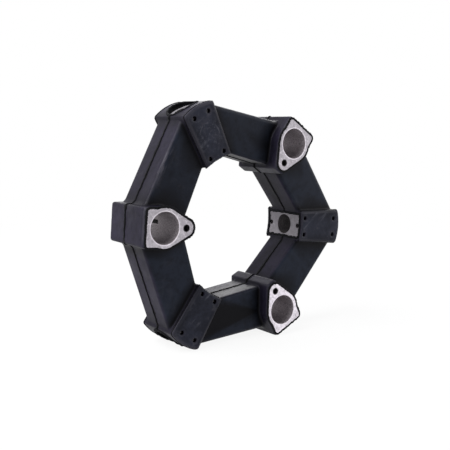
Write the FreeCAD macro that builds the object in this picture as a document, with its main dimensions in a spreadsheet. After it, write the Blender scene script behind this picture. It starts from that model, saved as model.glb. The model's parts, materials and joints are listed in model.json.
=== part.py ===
import FreeCAD, Part
import math
import os
import Sketcher

# A flexible shaft coupling: one moulded rubber ring with six aluminium bushes bonded into it.
# Three axial bushes are bolted along the ring's axis and three radial bushes towards it, in turn
# every 60 degrees. The ring stands on its two lower blocks. Its axis is Y, the flanges of the
# axial bushes look towards -Y, and Z is up. The origin is on the axis, in the mould's parting plane.

os.makedirs("parts", exist_ok=True)
doc = FreeCAD.newDocument("coupling")

# Driving sizes, in millimetres

SIZES = (
    ("bolt_circle", 165.0, "circle through the middles of the axial bores"),
    ("block_depth", 47.4, "depth of the radial blocks along the ring's axis"),
    ("limb_depth", 36.6, "depth of the limbs between the blocks"),
    ("flange_step", 6.3, "axial flanges stand in front of the radial blocks"),
    ("flange_proud", 0.3, "aluminium stands proud of the rubber round it"),
    ("axial_bore", 25.0, "bore of an axial bush"),
    ("bore_chamfer", 0.4, "chamfer at both mouths of an axial bore"),
    ("pin_circle", 126.2, "circle through the small holes in the flange tips"),
    ("pin_hole", 5.0, "small hole in a flange tip"),
    ("tip_round", 6.2, "radius of the aluminium round that hole"),
    ("bulge_radius", 15.5, "radius of the aluminium round the axial bore"),
    ("shoulder_nip", 1.1, "shoulders lie inside the bulge by this much"),
    ("flange_face", 98.3, "aluminium's outer face from the ring's axis"),
    ("flange_corner", 2.3, "radius of the aluminium's two outer corners"),
    ("skin", 0.8, "rubber over the sides of an axial bush"),
    ("outer_skin", 2.2, "rubber over the outer face of an axial bush"),
    ("tip_skin", 2.4, "rubber over the tip of an axial bush"),
    ("tip_width", 8.8, "width of the rubber's flat tip"),
    ("hub_seat", 125.4, "cylinder on which the radial bushes meet the hub"),
    ("bolt_bore", 17.5, "bore of a radial bush"),
    ("radial_width", 21.0, "width of a radial bush round the ring"),
    ("radial_depth", 40.4, "depth of a radial bush along the ring's axis"),
    ("head_sink", 3.9, "seat of the bolt's head below the crown"),
    ("dowel_hole", 4.2, "small holes in a radial bush's inner face"),
    ("dowel_spacing", 35.2, "distance between those two holes"),
    ("dowel_length", 9.0, "depth of those holes"),
    ("block_reach", 109.3, "crown of a radial block from the ring's axis"),
    ("crown_radius", 44.0, "radius of that crown"),
    ("block_outer_width", 30.6, "width of a radial block at its crown"),
    ("block_inner_width", 26.6, "width of a radial block at the hub"),
    ("head_opening", 26.0, "opening in the crown for the bolt's head"),
    ("mould_hole", 3.8, "holes left by the mould's locating pins"),
    ("mould_inner", 66.5, "inner pair of those holes from the ring's axis"),
    ("mould_outer", 101.4, "outer pair of those holes from the ring's axis"),
    ("mould_spacing", 14.6, "distance between the two holes of a pair"),
    ("radial_step", 3.0, "limbs lie below a radial block's outer corner"),
    ("axial_step", 6.8, "limbs lie below an axial block's outer face"),
    ("hub_step", 0.6, "limbs lie outside a radial block's inner corner"),
    ("tip_step", 2.6, "limbs lie outside an axial block's flat tip"),
    ("limb_outer_round", 4.0, "rounded outer edges of the limbs"),
    ("limb_inner_round", 3.0, "rounded inner edges of the limbs"),
    ("corner_round", 2.0, "upright outer corners of the blocks"),
    ("rim_chamfer", 1.4, "broken rims of the blocks"),
    ("flare_run", 3.0, "limbs' outer walls flare over this length before the axial blocks"),
    ("flare_turn", 23.0, "degrees that they turn there"),
    ("limb_tuck", 3.0, "limbs reach this far into the blocks"),
)

sheet = doc.addObject("Spreadsheet::Sheet", "sizes")
for row, (alias, value, note) in enumerate(SIZES, start=1):
    sheet.set(f"A{row}", alias.replace("_", " "))
    sheet.set(f"B{row}", str(value))
    sheet.setAlias(f"B{row}", alias)
    sheet.set(f"C{row}", note)
doc.recompute()


def size(alias):
    """The value of one cell of the sheet."""
    return float(getattr(sheet, alias))


# Places of the blocks round the ring, in degrees from +X towards +Z

NODE_STEP = 60.0
RADIAL_NODES = {"right": 0.0, "top": 120.0, "bottom": 240.0}
AXIAL_NODES = {"upper_right": 60.0, "left": 180.0, "lower_right": 300.0}

# Two places nearer than this are one

TINY = 1e-3

# Lengths that follow from the driving sizes

bore_distance = size("bolt_circle") / 2
pin_distance = size("pin_circle") / 2
shoulder = size("bulge_radius") - size("shoulder_nip")
rubber_bulge = size("bulge_radius") + size("skin")
rubber_shoulder = shoulder + 1.5 * size("skin")
rubber_outer = size("flange_face") + size("outer_skin")
tip_distance = pin_distance - size("tip_round") - size("tip_skin")
hub_radius = size("hub_seat") / 2
head_seat = size("block_reach") - size("head_sink")
inner_half = size("block_inner_width") / 2
outer_half = size("block_outer_width") / 2
crown_centre = size("block_reach") - size("crown_radius")
crown_corner = crown_centre + math.sqrt(size("crown_radius") ** 2 - outer_half ** 2)
hub_corner = math.sqrt(hub_radius ** 2 - inner_half ** 2)
front_half = size("block_depth") / 2 + size("flange_step")
back_half = size("block_depth") / 2


def turned(point, angle):
    """A point of a block's own plane, with X away from the ring's axis, turned round the ring."""
    turn = math.radians(angle)
    x, y = point
    return (x * math.cos(turn) - y * math.sin(turn), x * math.sin(turn) + y * math.cos(turn))


def mirrored(point):
    return (point[0], -point[1])


def tangent_point(point, centre, radius, side):
    """Where a line from a point touches a circle; side is 1 or -1, left or right of its centre."""
    dx = centre[0] - point[0]
    dy = centre[1] - point[1]
    distance = math.hypot(dx, dy)
    angle = math.atan2(dy, dx) + side * math.asin(radius / distance)
    length = math.sqrt(distance ** 2 - radius ** 2)
    return (point[0] + length * math.cos(angle), point[1] + length * math.sin(angle))


def circle_angle(point, centre):
    return math.degrees(math.atan2(point[1] - centre[1], point[0] - centre[0]))


def along(start, end, distance):
    """The point that lies a distance beyond start, seen from end."""
    dx = start[0] - end[0]
    dy = start[1] - end[1]
    length = math.hypot(dx, dy)
    return (start[0] + dx * distance / length, start[1] + dy * distance / length)


# Sketches

def origin_plane(body, role):
    for feature in body.Origin.OriginFeatures:
        if feature.Role == role:
            return feature
    raise RuntimeError(f"no {role} in {body.Label}")


def new_sketch(body, name, role="XZ_Plane"):
    """A sketch on one of a body's own planes. On XZ_Plane its normal is -Y, on YZ_Plane +X."""
    sketch = body.newObject("Sketcher::SketchObject", name)
    sketch.AttachmentSupport = [(origin_plane(body, role), "")]
    sketch.MapMode = "FlatFace"
    return sketch


def line(start, end):
    return {"kind": "line", "start": start, "end": end}


def arc(centre, radius, first, last, cell=None, backwards=False):
    """An arc from one angle to another, counter-clockwise; backwards runs along it the other way."""
    return {
        "kind": "arc", "centre": centre, "radius": radius, "first": first, "last": last,
        "cell": cell, "backwards": backwards,
    }


def flat(point):
    return FreeCAD.Vector(point[0], point[1], 0)


def draw(sketch, path, angle=0.0):
    """Draws a closed path turned round the ring, joins its ends and binds its radii to the sheet."""
    ends = []
    for piece in path:
        if piece["kind"] == "line":
            start = flat(turned(piece["start"], angle))
            end = flat(turned(piece["end"], angle))
            index = sketch.addGeometry(Part.LineSegment(start, end), False)
            ends.append((index, 1, 2))
            continue
        centre = flat(turned(piece["centre"], angle))
        circle = Part.Circle(centre, FreeCAD.Vector(0, 0, 1), piece["radius"])
        first = math.radians(piece["first"] + angle)
        last = math.radians(piece["last"] + angle)
        index = sketch.addGeometry(Part.ArcOfCircle(circle, first, last), False)
        ends.append((index, 2, 1) if piece["backwards"] else (index, 1, 2))
        if piece["cell"]:
            bound = sketch.addConstraint(Sketcher.Constraint("Radius", index, piece["radius"]))
            sketch.setExpression(f"Constraints[{bound}]", piece["cell"])
    for here, after in zip(ends, ends[1:] + ends[:1]):
        sketch.addConstraint(Sketcher.Constraint("Coincident", here[0], here[2], after[0], after[1]))


def draw_circle(sketch, centre, cell):
    """A circle whose diameter is a cell of the sheet."""
    circle = Part.Circle(flat(centre), FreeCAD.Vector(0, 0, 1), size(cell) / 2)
    index = sketch.addGeometry(circle, False)
    bound = sketch.addConstraint(Sketcher.Constraint("Radius", index, size(cell) / 2))
    sketch.setExpression(f"Constraints[{bound}]", f"sizes.{cell} / 2")


# Outlines, seen from the front, in a block's own plane

def flange_outline():
    """The aluminium of an axial bush: flat outer face, shoulders, bulge and rounded tip."""
    bulge = size("bulge_radius")
    tip = size("tip_round")
    corner = size("flange_corner")
    face = size("flange_face")
    slope = math.degrees(math.asin((bulge - tip) / (bore_distance - pin_distance)))
    bore_centre = (bore_distance, 0)
    pin_centre = (pin_distance, 0)
    kink = (bore_distance + math.sqrt(bulge ** 2 - shoulder ** 2), shoulder)
    kink_angle = circle_angle(kink, bore_centre)
    turn = math.radians(90 + slope)
    bulge_end = (bore_distance + bulge * math.cos(turn), bulge * math.sin(turn))
    tip_start = (pin_distance + tip * math.cos(turn), tip * math.sin(turn))
    side = (face, shoulder - corner)
    shoulder_start = (face - corner, shoulder)
    return [
        line(mirrored(side), side),
        arc((face - corner, shoulder - corner), corner, 0, 90, "sizes.flange_corner"),
        line(shoulder_start, kink),
        arc(bore_centre, bulge, kink_angle, 90 + slope, "sizes.bulge_radius"),
        line(bulge_end, tip_start),
        arc(pin_centre, tip, 90 + slope, 270 - slope, "sizes.tip_round"),
        line(mirrored(tip_start), mirrored(bulge_end)),
        arc(bore_centre, bulge, 270 - slope, 360 - kink_angle, "sizes.bulge_radius"),
        line(mirrored(kink), mirrored(shoulder_start)),
        arc((face - corner, corner - shoulder), corner, 270, 360, "sizes.flange_corner"),
    ]


def axial_block_outline():
    """The rubber round an axial bush: flat outer face, smooth bulge and a flat, cut-off tip."""
    corner = size("corner_round")
    centre = (bore_distance, 0)
    tip = (tip_distance, size("tip_width") / 2)
    bulge_end = tangent_point(tip, centre, rubber_bulge, 1)
    top = (rubber_outer - corner, rubber_shoulder)
    bulge_start = tangent_point(top, centre, rubber_bulge, -1)
    side = (rubber_outer, rubber_shoulder - corner)
    first = circle_angle(bulge_start, centre)
    last = circle_angle(bulge_end, centre)
    return [
        line(mirrored(side), side),
        arc((rubber_outer - corner, rubber_shoulder - corner), corner, 0, 90, "sizes.corner_round"),
        line(top, bulge_start),
        arc(centre, rubber_bulge, first, last, "sizes.bulge_radius + sizes.skin"),
        line(bulge_end, tip),
        line(tip, mirrored(tip)),
        line(mirrored(tip), mirrored(bulge_end)),
        arc(centre, rubber_bulge, 360 - last, 360 - first, "sizes.bulge_radius + sizes.skin"),
        line(mirrored(bulge_start), mirrored(top)),
        arc((rubber_outer - corner, corner - rubber_shoulder), corner, 270, 360, "sizes.corner_round"),
    ]


def radial_corner():
    """Centre of a radial block's rounded outer corner, inside both its crown and its tapered side."""
    corner = size("corner_round")
    side = math.atan2(outer_half - inner_half, crown_corner - hub_corner)
    start = (hub_corner + corner * math.sin(side), inner_half - corner * math.cos(side))
    reach = size("crown_radius") - corner
    across = (start[0] - crown_centre) * math.cos(side) + start[1] * math.sin(side)
    gap = (start[0] - crown_centre) ** 2 + start[1] ** 2 - reach ** 2
    run = math.sqrt(across ** 2 - gap) - across
    return (start[0] + run * math.cos(side), start[1] + run * math.sin(side)), math.degrees(side)


def radial_block_outline():
    """The rubber of a radial block: crowned outer face, tapered sides and hollow hub face."""
    corner = size("corner_round")
    centre, side = radial_corner()
    crown = circle_angle(centre, (crown_centre, 0))
    shoulder_turn = math.radians(90 + side)
    top = (centre[0] + corner * math.cos(shoulder_turn), centre[1] + corner * math.sin(shoulder_turn))
    hub = (hub_corner, inner_half)
    seat = circle_angle(hub, (0, 0))
    return [
        arc((crown_centre, 0), size("crown_radius"), -crown, crown, "sizes.crown_radius"),
        arc(centre, corner, crown, 90 + side, "sizes.corner_round"),
        line(top, hub),
        arc((0, 0), hub_radius, -seat, seat, "sizes.hub_seat / 2", backwards=True),
        line(mirrored(hub), mirrored(top)),
        arc(mirrored(centre), corner, 270 - side, 360 - crown, "sizes.corner_round"),
    ]


def radial_bush_outline():
    """The aluminium of a radial bush: hollow hub face, straight sides and flat bolt seat."""
    half = size("radial_width") / 2
    seat = math.degrees(math.asin(half / hub_radius))
    hub = (math.sqrt(hub_radius ** 2 - half ** 2), half)
    head = (head_seat, half)
    return [
        line(mirrored(head), head),
        line(head, hub),
        arc((0, 0), hub_radius, -seat, seat, "sizes.hub_seat / 2", backwards=True),
        line(mirrored(hub), mirrored(head)),
    ]


def limb_lines():
    """Ends of a limb's outer and inner wall, from its radial block at 0 to its axial one at 60 degrees."""
    radial_out = (radial_corner()[0][0] + size("corner_round") - size("radial_step"), outer_half)
    radial_in = (hub_corner + size("hub_step"), inner_half)
    axial_out = (rubber_outer - size("axial_step"), -rubber_shoulder)
    axial_in = (tip_distance + size("tip_step"), -(size("tip_width") + size("tip_step")) / 2)
    return (radial_out, turned(axial_out, NODE_STEP)), (radial_in, turned(axial_in, NODE_STEP))


def limb_walls():
    """Outlines of the limbs' outer and inner walls, which run from block to block round the ring."""
    tuck = size("limb_tuck")
    outer, inner = limb_lines()
    direction = math.atan2(outer[1][1] - outer[0][1], outer[1][0] - outer[0][0])
    turn = math.radians(size("flare_turn"))
    start = along(outer[1], outer[0], -size("flare_run"))
    reach = size("flare_run") / math.cos(turn) + tuck
    inside = (start[0] + reach * math.cos(direction - turn), start[1] + reach * math.sin(direction - turn))
    tucked = along(outer[0], outer[1], tuck)
    near = along(inner[0], inner[1], tuck)
    far = along(inner[1], inner[0], tuck)
    outside = []
    within = []
    for angle in RADIAL_NODES.values():
        def here(point):
            return turned(point, angle)
        def flipped(point):
            return turned(mirrored(point), angle)
        following = angle + 2 * NODE_STEP
        outside += [
            line(flipped(tucked), here(tucked)),
            line(here(tucked), here(start)),
            line(here(start), here(inside)),
            line(here(inside), turned(mirrored(inside), following)),
            line(turned(mirrored(inside), following), turned(mirrored(start), following)),
            line(turned(mirrored(start), following), turned(mirrored(tucked), following)),
        ]
        within += [
            line(flipped(near), here(near)),
            line(here(near), here(far)),
            line(here(far), turned(mirrored(far), following)),
            line(turned(mirrored(far), following), turned(mirrored(near), following)),
        ]
    return outside, within


def radial_socket_outline():
    """The room for a radial bush in the rubber, open towards the hub."""
    half = size("radial_width") / 2
    mouth = hub_corner - half
    corners = [(head_seat, -half), (head_seat, half), (mouth, half), (mouth, -half)]
    return [line(a, b) for a, b in zip(corners, corners[1:] + corners[:1])]


# Features

def pad(body, sketch, name, front, back):
    """A pad towards the front by one length and towards the back by another, as expressions."""
    feature = body.newObject("PartDesign::Pad", name)
    feature.Profile = sketch
    feature.SideType = "Two sides"
    feature.setExpression("Length", front)
    feature.setExpression("Length2", back)
    doc.recompute()
    return feature


def cut(body, sketch, name, front=None, back=None, outwards=None):
    """A pocket by two lengths, by one length along the sketch's normal, or right through both ways."""
    before = body.Shape.Volume
    feature = body.newObject("PartDesign::Pocket", name)
    feature.Profile = sketch
    if outwards:
        feature.Reversed = True
        feature.setExpression("Length", outwards)
    else:
        feature.SideType = "Two sides"
        if front:
            feature.setExpression("Length", front)
            feature.setExpression("Length2", back)
        else:
            feature.Type = "ThroughAll"
            feature.Type2 = "ThroughAll"
    doc.recompute()
    if not body.Shape.Volume < before:
        raise RuntimeError(f"{name} cuts nothing")
    return feature


def edges_where(feature, test):
    names = []
    for index, edge in enumerate(feature.Shape.Edges, start=1):
        if test(edge):
            names.append(f"Edge{index}")
    if not names:
        raise RuntimeError(f"no edge found on {feature.Label}")
    return names


def at_depth(edge, *depths):
    """True for an edge that lies at one of some depths along the ring's axis."""
    box = edge.BoundBox
    return any(abs(box.YMin - y) < TINY and abs(box.YMax - y) < TINY for y in depths)


def middle_of(edge):
    return edge.valueAt((edge.FirstParameter + edge.LastParameter) / 2)


def axis_distance(edge):
    middle = middle_of(edge)
    return math.hypot(middle.x, middle.z)


def dress(body, kind, name, names, cell):
    """A fillet or chamfer of some edges of a body's last feature."""
    prop = "Radius" if kind == "Fillet" else "Size"
    base = body.Tip
    feature = body.newObject(f"PartDesign::{kind}", name)
    feature.Base = (base, names)
    feature.setExpression(prop, f"sizes.{cell}")
    doc.recompute()
    if feature.State and "Invalid" in feature.State:
        raise RuntimeError(f"{name} failed")
    return feature


def repeat(body, feature, name, count):
    """Repeats a feature evenly round the ring's axis."""
    before = body.Shape.Volume
    pattern = body.newObject("PartDesign::PolarPattern", name)
    pattern.Originals = [feature]
    pattern.Axis = (origin_plane(body, "Y_Axis"), [""])
    pattern.Angle = 360
    pattern.Occurrences = count
    body.Tip = pattern
    doc.recompute()
    if not body.Shape.Volume < before:
        raise RuntimeError(f"{name} repeats nothing")
    return pattern


# The ring stands on the rounded corners of its two lower blocks, and is turned to rest on both

def stance():
    """Degrees that the ring turns from +X towards +Z until its two lower corners are level."""
    corner = size("corner_round")
    left = turned(radial_corner()[0], RADIAL_NODES["bottom"])
    right = turned((rubber_outer - corner, corner - rubber_shoulder), AXIAL_NODES["lower_right"])
    return -math.degrees(math.atan2(right[1] - left[1], right[0] - left[0]))


rest_turn = stance()


def stand(body, angle):
    """Places a body whose own plane is that of a block at an angle round the ring."""
    turn = FreeCAD.Rotation(FreeCAD.Vector(0, -1, 0), rest_turn + angle)
    body.Placement = FreeCAD.Placement(FreeCAD.Vector(0, 0, 0), turn)


# Axial bushes

def axial_bush(label, angle):
    body = doc.addObject("PartDesign::Body", label)
    body.Label = label
    profile = new_sketch(body, f"{label}_profile")
    draw(profile, flange_outline())
    pad(body, profile, f"{label}_length",
        "sizes.block_depth / 2 + sizes.flange_step", "sizes.block_depth / 2")
    holes = new_sketch(body, f"{label}_holes")
    draw_circle(holes, (bore_distance, 0), "axial_bore")
    draw_circle(holes, (pin_distance, 0), "pin_hole")
    bores = cut(body, holes, f"{label}_bores")
    bore = size("axial_bore") / 2
    mouths = edges_where(bores, lambda edge: hasattr(edge.Curve, "Radius")
                         and abs(edge.Curve.Radius - bore) < TINY and at_depth(edge, -front_half, back_half))
    dress(body, "Chamfer", f"{label}_mouths", mouths, "bore_chamfer")
    stand(body, angle)
    return body


# Radial bushes

def radial_bush(label, angle):
    body = doc.addObject("PartDesign::Body", label)
    body.Label = label
    profile = new_sketch(body, f"{label}_profile")
    draw(profile, radial_bush_outline())
    pad(body, profile, f"{label}_depth", "sizes.radial_depth / 2", "sizes.radial_depth / 2")
    bolt = new_sketch(body, f"{label}_bolt", "YZ_Plane")
    draw_circle(bolt, (0, 0), "bolt_bore")
    cut(body, bolt, f"{label}_bore")
    dowels = new_sketch(body, f"{label}_dowels", "YZ_Plane")
    for side in (1, -1):
        draw_circle(dowels, (side * size("dowel_spacing") / 2, 0), "dowel_hole")
    cut(body, dowels, f"{label}_dowel_holes", outwards="sizes.hub_seat / 2 + sizes.dowel_length")
    stand(body, angle)
    return body


# Rubber ring

def outlines(body, name, path, angles):
    """One sketch that holds the same outline once for each block."""
    sketch = new_sketch(body, name)
    for angle in angles:
        draw(sketch, path, angle)
    return sketch


def rubber_ring():
    label = "rubber_ring"
    body = doc.addObject("PartDesign::Body", label)
    body.Label = label
    limb_half = size("limb_depth") / 2
    rubber_front = front_half - size("flange_proud")

    walls = new_sketch(body, "limb_walls")
    for path in limb_walls():
        draw(walls, path)
    pad(body, walls, "limbs", "sizes.limb_depth / 2", "sizes.limb_depth / 2")

    def limb_edges(outside):
        return edges_where(body.Tip, lambda edge: at_depth(edge, limb_half, -limb_half)
                           and (axis_distance(edge) > bore_distance) == outside)

    dress(body, "Fillet", "limb_outer_edges", limb_edges(True), "limb_outer_round")
    dress(body, "Fillet", "limb_inner_edges", limb_edges(False), "limb_inner_round")

    radial = outlines(body, "radial_blocks_outline", radial_block_outline(), RADIAL_NODES.values())
    pad(body, radial, "radial_blocks", "sizes.block_depth / 2", "sizes.block_depth / 2")
    axial = outlines(body, "axial_blocks_outline", axial_block_outline(), AXIAL_NODES.values())
    pad(body, axial, "axial_blocks",
        "sizes.block_depth / 2 + sizes.flange_step - sizes.flange_proud", "sizes.block_depth / 2")

    rims = edges_where(body.Tip, lambda edge: at_depth(edge, -rubber_front, -back_half, back_half)
                       and abs(axis_distance(edge) - hub_radius) > TINY)
    dress(body, "Chamfer", "block_rims", rims, "rim_chamfer")

    sockets = outlines(body, "axial_sockets_outline", flange_outline(), AXIAL_NODES.values())
    cut(body, sockets, "axial_sockets")
    sockets = outlines(body, "radial_sockets_outline", radial_socket_outline(), RADIAL_NODES.values())
    cut(body, sockets, "radial_sockets", "sizes.radial_depth / 2", "sizes.radial_depth / 2")

    holes = new_sketch(body, "mould_holes_outline")
    for angle in RADIAL_NODES.values():
        for distance in (size("mould_inner"), size("mould_outer")):
            for side in (1, -1):
                centre = turned((distance, side * size("mould_spacing") / 2), angle)
                draw_circle(holes, centre, "mould_hole")
    cut(body, holes, "mould_holes")

    opening = new_sketch(body, "head_opening_outline", "YZ_Plane")
    opening.setExpression("AttachmentOffset.Base.z", "sizes.block_reach - sizes.head_sink")
    draw_circle(opening, (0, 0), "head_opening")
    first = cut(body, opening, "head_opening", outwards="sizes.head_sink + sizes.rim_chamfer")
    repeat(body, first, "head_openings", len(RADIAL_NODES))
    stand(body, 0.0)
    return body


# The whole coupling

pieces = [rubber_ring()]
pieces += [axial_bush(f"axial_bush_{place}", angle) for place, angle in AXIAL_NODES.items()]
pieces += [radial_bush(f"radial_bush_{place}", angle) for place, angle in RADIAL_NODES.items()]
doc.recompute()

for item in doc.Objects:
    if "Invalid" in item.State or "Error" in item.State:
        raise RuntimeError(f"{item.Label} is {item.State}")
for piece in pieces:
    shape = piece.Shape
    if shape.isNull() or not shape.isValid() or len(shape.Solids) != 1:
        raise RuntimeError(f"{piece.Label} is not one valid solid")
for piece in pieces:
    piece.Shape.exportStep(f"parts/{piece.Label}.step")
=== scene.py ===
import json
import math

import bmesh
import bpy
import numpy as np
from bpy.props import FloatProperty, FloatVectorProperty, IntProperty, PointerProperty
from mathutils import Matrix, Vector, noise
from mathutils.bvhtree import BVHTree
from mathutils.kdtree import KDTree


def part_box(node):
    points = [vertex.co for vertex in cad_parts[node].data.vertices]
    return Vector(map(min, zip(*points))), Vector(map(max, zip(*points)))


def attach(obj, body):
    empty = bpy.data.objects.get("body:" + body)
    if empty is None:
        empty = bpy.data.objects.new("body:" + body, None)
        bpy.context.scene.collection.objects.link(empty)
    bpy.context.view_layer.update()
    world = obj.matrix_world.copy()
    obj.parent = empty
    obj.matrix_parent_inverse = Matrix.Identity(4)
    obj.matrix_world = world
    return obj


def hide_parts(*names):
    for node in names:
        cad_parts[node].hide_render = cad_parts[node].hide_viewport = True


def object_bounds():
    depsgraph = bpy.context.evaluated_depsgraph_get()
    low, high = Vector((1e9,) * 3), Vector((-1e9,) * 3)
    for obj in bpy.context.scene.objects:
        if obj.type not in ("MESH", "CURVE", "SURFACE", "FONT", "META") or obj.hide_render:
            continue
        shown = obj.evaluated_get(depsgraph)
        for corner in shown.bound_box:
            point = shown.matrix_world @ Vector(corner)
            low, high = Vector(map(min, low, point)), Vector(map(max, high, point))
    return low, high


bl_info = {
    "name": "Flexible shaft coupling",
    "version": (1, 0, 0),
    "blender": (4, 5, 0),
    "location": "View3D > Sidebar > Coupling",
    "description": "Materials, moulding flash and a studio stage for a rubber shaft coupling",
    "category": "Object",
}

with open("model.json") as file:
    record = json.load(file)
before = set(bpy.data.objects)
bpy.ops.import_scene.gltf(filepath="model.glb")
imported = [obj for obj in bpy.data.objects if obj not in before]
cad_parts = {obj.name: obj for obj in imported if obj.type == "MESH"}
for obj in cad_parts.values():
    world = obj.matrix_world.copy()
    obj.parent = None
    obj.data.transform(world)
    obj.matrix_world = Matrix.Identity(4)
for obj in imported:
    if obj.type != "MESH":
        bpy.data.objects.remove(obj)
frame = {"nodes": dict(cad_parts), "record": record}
cad_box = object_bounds()

MM = 0.001
RING = "rubber_ring"
PLACES_AXIAL = ("upper_right", "left", "lower_right")
PLACES_RADIAL = ("right", "top", "bottom")
mounts = {mount["name"]: mount for mount in frame["record"]["mounts"]}

# Levels along the ring's axis, from the frame

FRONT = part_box("axial_bush_left")[0][1]
RUBBER_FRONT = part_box(RING)[0][1]
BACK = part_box(RING)[1][1]

# Distances from the ring's axis, from the frame

RADIAL_POINTS = [vert.co.copy() for vert in frame["nodes"]["radial_bush_right"].data.vertices]
HUB_RADIUS = min(math.hypot(point.x, point.z) for point in RADIAL_POINTS)

# Two points nearer than this are one, and a wall nearer to a bush than this is its seat

WELD = 2e-6
SEAT_GAP = 8e-5

# An edge with more than this between its faces is sharp, and has points this far apart

SHARP_ANGLE = math.radians(20.0)
EDGE_STEP = 0.4 * MM

# The marks beside ridges and hollows fade out at this distance

EDGE_REACH = 12.0 * MM


# Meshes read from the frame

def welded(node):
    """A node's mesh with its split corners joined."""
    mesh = bmesh.new()
    mesh.from_mesh(frame["nodes"][node].data)
    bmesh.ops.remove_doubles(mesh, verts=mesh.verts, dist=WELD)
    return mesh


def bush_tree():
    """A search tree over all six bushes."""
    points = []
    faces = []
    for name, node in frame["nodes"].items():
        if name == RING:
            continue
        start = len(points)
        points += [vert.co.copy() for vert in node.data.vertices]
        faces += [[start + index for index in face.vertices] for face in node.data.polygons]
    return BVHTree.FromPolygons(points, faces)


bushes = bush_tree()


def on_a_seat(point):
    """True on a wall of the rubber that a bush covers."""
    return bushes.find_nearest(point)[3] < SEAT_GAP


def chains(pairs):
    """Joins edges, given as pairs of points, into chains of points and says which are closed."""
    place = {}
    after = {}

    def key(point):
        return tuple(round(value / WELD / 4) for value in point)

    for first, second in pairs:
        a, b = key(first), key(second)
        if a == b:
            continue
        place[a], place[b] = first, second
        after.setdefault(a, set()).add(b)
        after.setdefault(b, set()).add(a)
    found = []
    for only_ends in (True, False):
        for start in sorted(after):
            if not after[start] or (only_ends and len(after[start]) != 1):
                continue
            here = start
            points = [place[here]]
            while after[here]:
                following = min(after[here])
                after[here].discard(following)
                after[following].discard(here)
                here = following
                points.append(place[here])
            closed = here == start
            found.append((points[:-1] if closed else points, closed))
    return found


def length_of(chain):
    points, closed = chain
    ends = points[1:] + (points[:1] if closed else [])
    return sum((a - b).length for a, b in zip(points, ends))


def section(node, point, normal):
    """The edges along which a plane cuts a node, as pairs of points."""
    mesh = welded(node)
    geometry = mesh.verts[:] + mesh.edges[:] + mesh.faces[:]
    cut = bmesh.ops.bisect_plane(mesh, geom=geometry, plane_co=point, plane_no=normal, dist=WELD)
    pairs = []
    for item in cut["geom_cut"]:
        if isinstance(item, bmesh.types.BMEdge):
            pairs.append((item.verts[0].co.copy(), item.verts[1].co.copy()))
    mesh.free()
    return pairs


def middle(pair):
    return (pair[0] + pair[1]) / 2


def radial_axis(place):
    """The outward direction of a radial block."""
    return Vector(mounts[f"radial_bore_{place}"]["axis"])


def across_axis(point, place):
    """A point's distance from the axis of a radial block, and its distance along it."""
    axis = radial_axis(place)
    along = point.dot(axis)
    return (point - axis * along).length, along


HEAD_SEAT = max(across_axis(point, "right")[1] for point in RADIAL_POINTS)

# Depth of the plate seams under the radial blocks' faces

SEAM_DEPTH = 2.4 * MM


def flange_cuts(place):
    """The outline, the bore and the pin hole of a flange, from the longest to the shortest."""
    level = (FRONT + RUBBER_FRONT) / 2
    cuts = chains(section(f"axial_bush_{place}", Vector((0, level, 0)), Vector((0, 1, 0))))
    return sorted(cuts, key=length_of, reverse=True)


def centre_of(chain):
    return sum(chain[0], Vector()) / len(chain[0])


def pushed_out(chain, distance):
    """A closed chain that lies across Y, moved outwards."""
    points = chain[0]
    centre = centre_of(chain)
    moved = []
    for before, point, after in zip(points[-1:] + points[:-1], points, points[1:] + points[:1]):
        along = after - before
        side = Vector((-along.z, 0.0, along.x)).normalized()
        if side.dot(point - centre) < 0:
            side.negate()
        moved.append(point + side * distance)
    return moved, True


# Pieces of mesh

def finish_piece(name, mesh, material=None):
    """Makes a piece that rides with the part, with the material that is given."""
    if material:
        mesh.materials.clear()
        mesh.materials.append(material)
    piece = bpy.data.objects.new(name, mesh)
    bpy.context.scene.collection.objects.link(piece)
    for face in mesh.polygons:
        face.use_smooth = True
    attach(piece, "root")
    return piece


def keep_in_box(mesh, spare=0.0):
    """Moves points that would leave the part's box back to its faces."""
    low, high = cad_box
    places = np.empty(len(mesh.vertices) * 3)
    mesh.vertices.foreach_get("co", places)
    places = places.reshape(-1, 3)
    places = np.clip(places, np.array(low) - spare, np.array(high) + spare)
    mesh.vertices.foreach_set("co", places.ravel())
    mesh.update()


def line_object(name, found):
    """A mesh of edges only, for chains of points."""
    points = []
    edges = []
    for chain, closed in found:
        start = len(points)
        points += [tuple(point) for point in chain]
        edges += [(start + i, start + i + 1) for i in range(len(chain) - 1)]
        if closed:
            edges.append((start + len(chain) - 1, start))
    mesh = bpy.data.meshes.new(name)
    mesh.from_pydata(points, edges, [])
    piece = bpy.data.objects.new(name, mesh)
    bpy.context.scene.collection.objects.link(piece)
    return piece


# Geometry nodes: an uneven bead of flash along a path

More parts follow.
